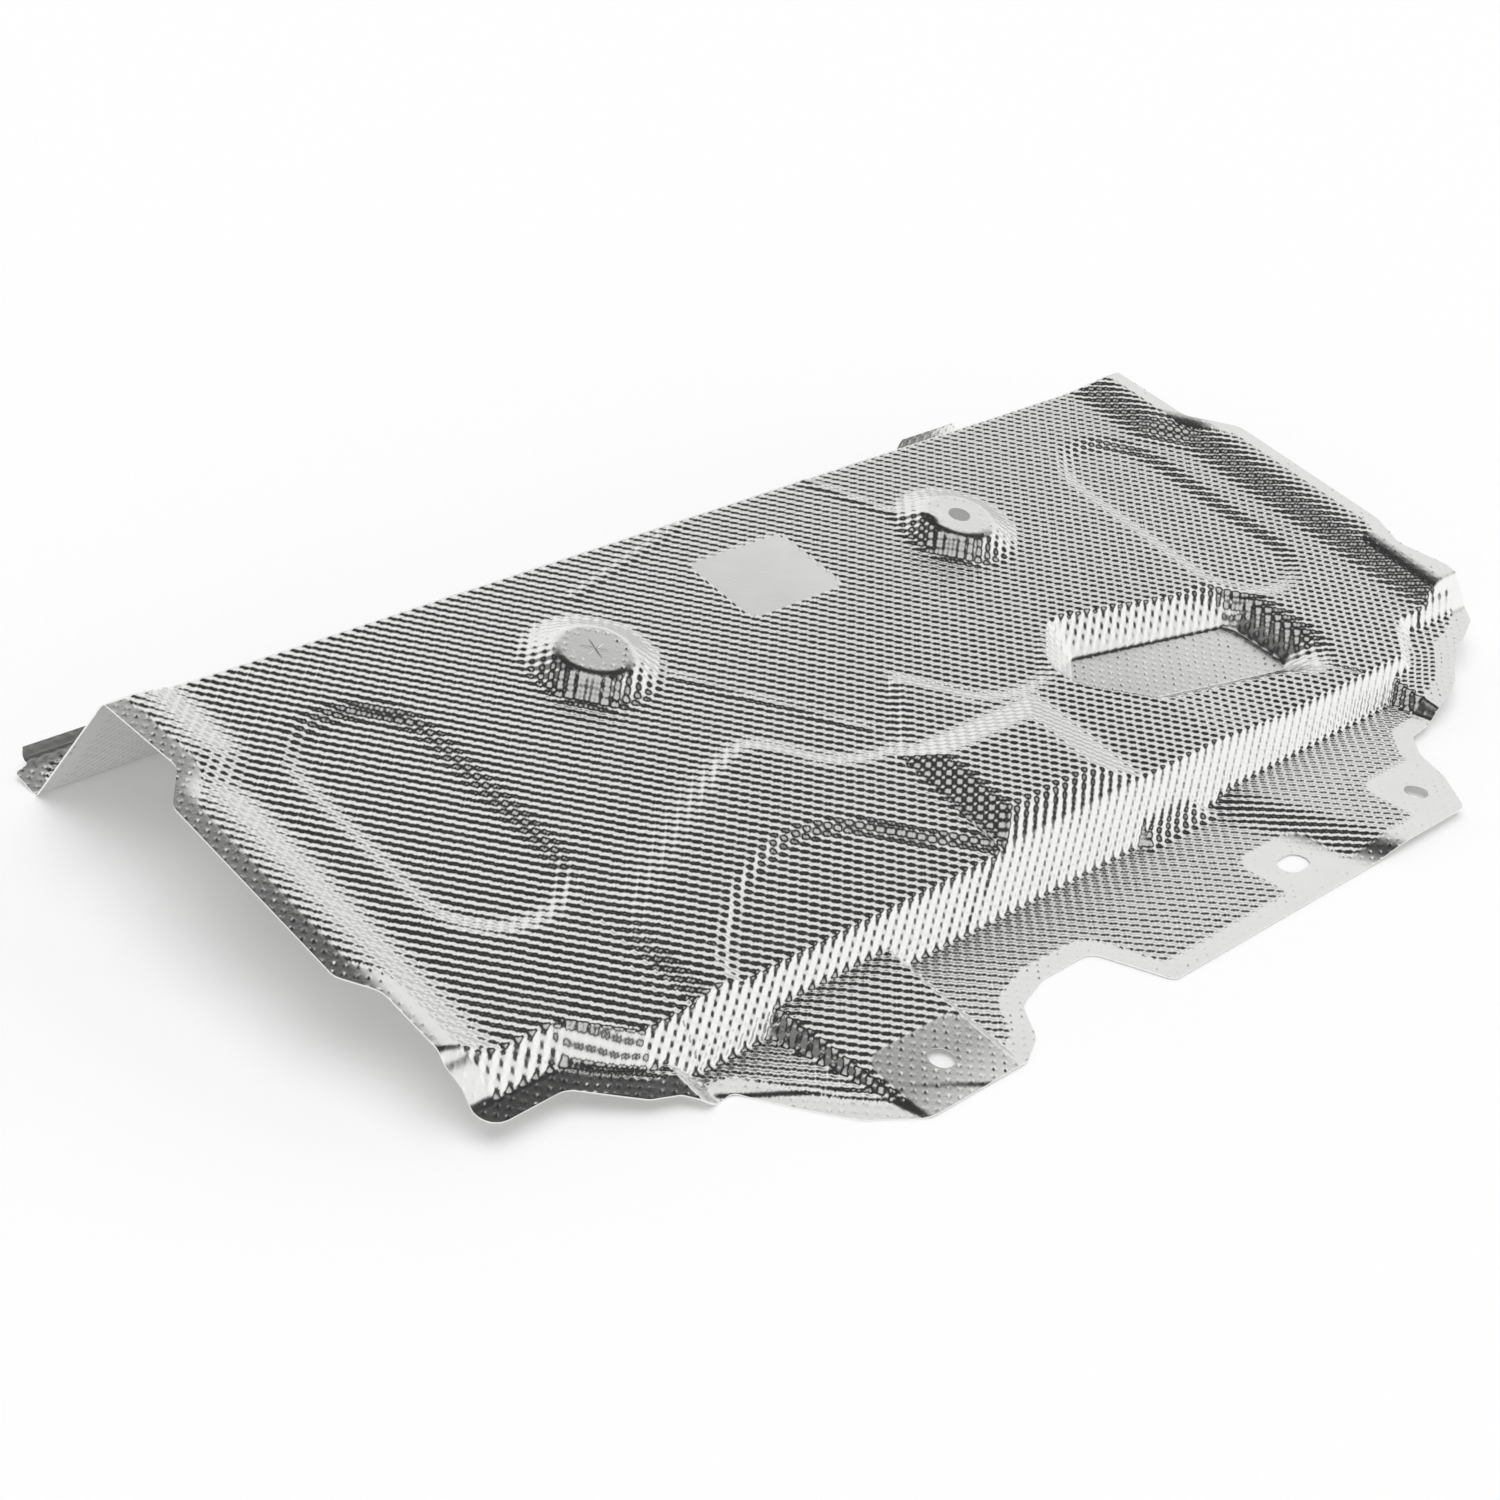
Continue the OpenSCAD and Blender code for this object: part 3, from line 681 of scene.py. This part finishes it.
def rear_lip():
    """Strip that stands up from the rear edge of the foot flange, bent up on a round at its foot, with its
    top edge closed flat.
    """
    tops = np.array(LIP_TOP)
    xs = np.arange(tops[0, 0], tops[-1, 0], 1.0)
    xs = np.unique(np.concatenate([xs, tops[:, 0]]))
    height = np.interp(xs, tops[:, 0], tops[:, 1]) * LIP_H
    height = np.convolve(np.pad(height, 1, mode="edge"), [0.25, 0.5, 0.25], "valid")
    r = 2.6
    rows = []
    y_mid, z_mid = REAR_Y - 0.5, -WALL_DROP - 0.5
    for k in range(7):
        g = math.pi / 2 * k / 6
        rows.append(("bend", r * math.sin(g), r - r * math.cos(g), (0, -math.sin(g), math.cos(g))))
    for k in range(1, 13):
        rows.append(("wall", k / 12, 0, (0, -1, 0)))
    P, N = [], []
    for side in (1, -1):
        for kind, a, b, n in rows:
            for x, h in zip(xs, height):
                n3 = np.array(n, float)
                if kind == "bend":
                    c = np.array([x, y_mid - r + a, z_mid + b])
                else:
                    z_top = -WALL_DROP + h
                    c = np.array([x, y_mid, z_mid + r + (z_top - z_mid - r - 0.2) * a])
                rise, lean_x, lean_z = lip_dot(x, c[2]) if kind == "wall" else (0, 0, 0)
                P.append(c + n3 * (side * METAL_T / 2 + rise))
                n3 = n3 - np.array([lean_x, 0, lean_z])
                N.append(n3 / np.linalg.norm(n3) * side)
    nx, nr = len(xs), len(rows)
    faces = []
    for s in range(2):
        for i in range(nr - 1):
            for j in range(nx - 1):
                q = [s * nr * nx + i * nx + j, s * nr * nx + i * nx + j + 1,
                     s * nr * nx + (i + 1) * nx + j + 1, s * nr * nx + (i + 1) * nx + j]
                faces.append(q if s == 0 else q[::-1])
    last = (nr - 1) * nx
    for j in range(nx - 1):
        faces.append([last + j, last + j + 1, nr * nx + last + j + 1, nr * nx + last + j])
    for j, flip in ((0, 1), (nx - 1, 0)):
        for i in range(nr - 1):
            q = [i * nx + j, (i + 1) * nx + j, nr * nx + (i + 1) * nx + j, nr * nx + i * nx + j]
            faces.append(q[::-1] if flip else q)
    make_mesh("rear_lip", np.array(P), faces, np.array(N))


def star():
    """Three thin ridges that cross on top of the left boss, pointed at both ends."""
    top = float(form(np.array([BOSS_ONE[0]]), np.array([BOSS_ONE[1]]))[0]) - SHEET_T / 2 + METAL_T / 2
    points, normals, faces = [], [], []
    for g in (-45, 15, 75):
        along = np.array([math.cos(math.radians(g)), math.sin(math.radians(g)), 0])
        across = np.array([-along[1], along[0], 0])
        base = len(points)
        stations = np.linspace(-1, 1, 9)
        for t in stations:
            w = STAR_W / 2 * (1 - t * t) + 0.02
            for c, h in ((-1, -0.1), (-0.5, 0.7), (0, 1), (0.5, 0.7), (1, -0.1)):
                points.append(np.array([*BOSS_ONE, top]) + along * STAR_R * t + across * w * c
                              + np.array([0, 0, STAR_H * h * (1 - 0.6 * t * t)]))
                n = across * c + np.array([0, 0, 1.1 - 0.6 * abs(c)])
                normals.append(n / np.linalg.norm(n))
        for i in range(len(stations) - 1):
            for j in range(5):
                a, b = base + i * 5 + j, base + i * 5 + (j + 1) % 5
                faces.append([b, a, a + 5, b + 5])
        faces.append([base + j for j in range(5)])
        faces.append([base + (len(stations) - 1) * 5 + j for j in range(4, -1, -1)])
    make_mesh("star", np.array(points), faces, np.array(normals))


sheet()
rear_lip()
star()


# Floor, light and camera
def stage_floor():
    m, nt = material("pale_floor")
    out = nt.nodes.new("ShaderNodeOutputMaterial")
    paint = nt.nodes.new("ShaderNodeBsdfDiffuse")
    paint.inputs["Color"].default_value = FLOOR_COLOUR
    path = nt.nodes.new("ShaderNodeLightPath")
    seen = path.outputs["Is Camera Ray"]
    for kind in ("Is Glossy Ray", "Is Transmission Ray"):
        either = nt.nodes.new("ShaderNodeMath")
        either.operation = "MAXIMUM"
        nt.links.new(seen, either.inputs[0])
        nt.links.new(path.outputs[kind], either.inputs[1])
        seen = either.outputs[0]
    lift = nt.nodes.new("ShaderNodeMath")
    lift.operation = "MULTIPLY"
    lift.inputs[1].default_value = FLOOR_GLOW
    nt.links.new(seen, lift.inputs[0])
    glow = nt.nodes.new("ShaderNodeEmission")
    nt.links.new(lift.outputs[0], glow.inputs["Strength"])
    both = nt.nodes.new("ShaderNodeAddShader")
    nt.links.new(paint.outputs["BSDF"], both.inputs[0])
    nt.links.new(glow.outputs["Emission"], both.inputs[1])
    nt.links.new(both.outputs["Shader"], out.inputs["Surface"])
    me = bpy.data.meshes.new("floor")
    s = FLOOR_HALF
    me.from_pydata([(-s, -s, 0), (s, -s, 0), (s, s, 0), (-s, s, 0)], [], [(0, 1, 2, 3)])
    me.materials.append(m)
    o = bpy.data.objects.new("floor", me)
    bpy.context.scene.collection.objects.link(o)


def way(azimuth, elevation):
    a, e = math.radians(azimuth), math.radians(elevation)
    return (math.cos(a) * math.cos(e), math.sin(a) * math.cos(e), math.sin(e))


def world():
    """Soft studio room made of smooth patches of light.

    Bright walls, dimmer at the back left and low on the right, a bright low band, a large soft box at the
    front right, and a dark opening overhead with one soft panel in it for views from the top.
    """
    w = bpy.data.worlds.new("studio")
    bpy.context.scene.world = w
    w.use_nodes = True
    nt = w.node_tree
    nt.nodes.clear()
    out = nt.nodes.new("ShaderNodeOutputWorld")
    where = nt.nodes.new("ShaderNodeTexCoord")

    def maths(op, a, b, c=0.0):
        n = nt.nodes.new("ShaderNodeMath")
        n.operation = op
        for k, v in enumerate((a, b, c)):
            if isinstance(v, (int, float)):
                n.inputs[k].default_value = v
            else:
                nt.links.new(v, n.inputs[k])
        return n.outputs[0]

    def patch(direction, outer, inner, at_outer, at_inner):
        """Level that changes smoothly from one angle off the direction to another."""
        d = nt.nodes.new("ShaderNodeVectorMath")
        d.operation = "DOT_PRODUCT"
        nt.links.new(where.outputs["Generated"], d.inputs[0])
        d.inputs[1].default_value = direction
        n = nt.nodes.new("ShaderNodeMapRange")
        n.interpolation_type = "SMOOTHSTEP"
        n.inputs["From Min"].default_value = math.cos(math.radians(outer))
        n.inputs["From Max"].default_value = math.cos(math.radians(inner))
        n.inputs["To Min"].default_value = at_outer
        n.inputs["To Max"].default_value = at_inner
        nt.links.new(d.outputs["Value"], n.inputs["Value"])
        return n.outputs["Result"]

    overhead = way(-45, 82)
    walls = maths("ADD", patch(overhead, 52, 37, 0.84, 0.0), patch(overhead, 74, 54, 0.1, 0.0))
    walls = maths("MULTIPLY", walls, patch(way(150, 44), 44, 24, 1.0, 0.2))
    low_band = patch((0, 0, 1), 90, 74, 0.94, 0.0)
    panel = patch(way(-95, 76), 29, 9, 0.0, 0.62)
    box = patch(way(-36, 9), 31, 21, 0.0, 1.0)
    level = maths("MAXIMUM", maths("MAXIMUM", walls, box), maths("MAXIMUM", low_band, panel))
    level = maths("MULTIPLY", level, patch(way(30, 2), 28, 8, 1.0, 0.6))
    level = maths("MULTIPLY_ADD", level, 1 - ROOM_DARKEST, ROOM_DARKEST)
    room = nt.nodes.new("ShaderNodeBackground")
    nt.links.new(level, room.inputs["Color"])
    nt.links.new(room.outputs["Background"], out.inputs["Surface"])


def lamp():
    """Even, very soft overhead light for the floor and its shadow; the metal mirrors the room only."""
    d = bpy.data.lights.new("overhead", "SUN")
    d.energy = LAMP_ENERGY
    d.angle = math.radians(LAMP_ANGLE)
    o = bpy.data.objects.new("overhead", d)
    o.visible_glossy = False
    bpy.context.scene.collection.objects.link(o)


def camera():
    d = bpy.data.cameras.new("camera")
    d.lens = 60.27
    d.sensor_width = 36
    d.clip_start, d.clip_end = 0.05, 50
    o = bpy.data.objects.new("camera", d)
    right = Vector((0.719245, -0.688933, 0.089768))
    up = Vector((0.299095, 0.423663, 0.855016))
    back = Vector((-0.62708, -0.588117, 0.510773))
    m = Matrix((right, up, back)).transposed().to_4x4()
    m.translation = Vector((-0.72329, -0.60265, 0.54791))
    o.matrix_world = m
    bpy.context.scene.collection.objects.link(o)
    bpy.context.scene.camera = o


stage_floor()
world()
lamp()
camera()
bpy.context.scene.view_settings.view_transform = "Standard"
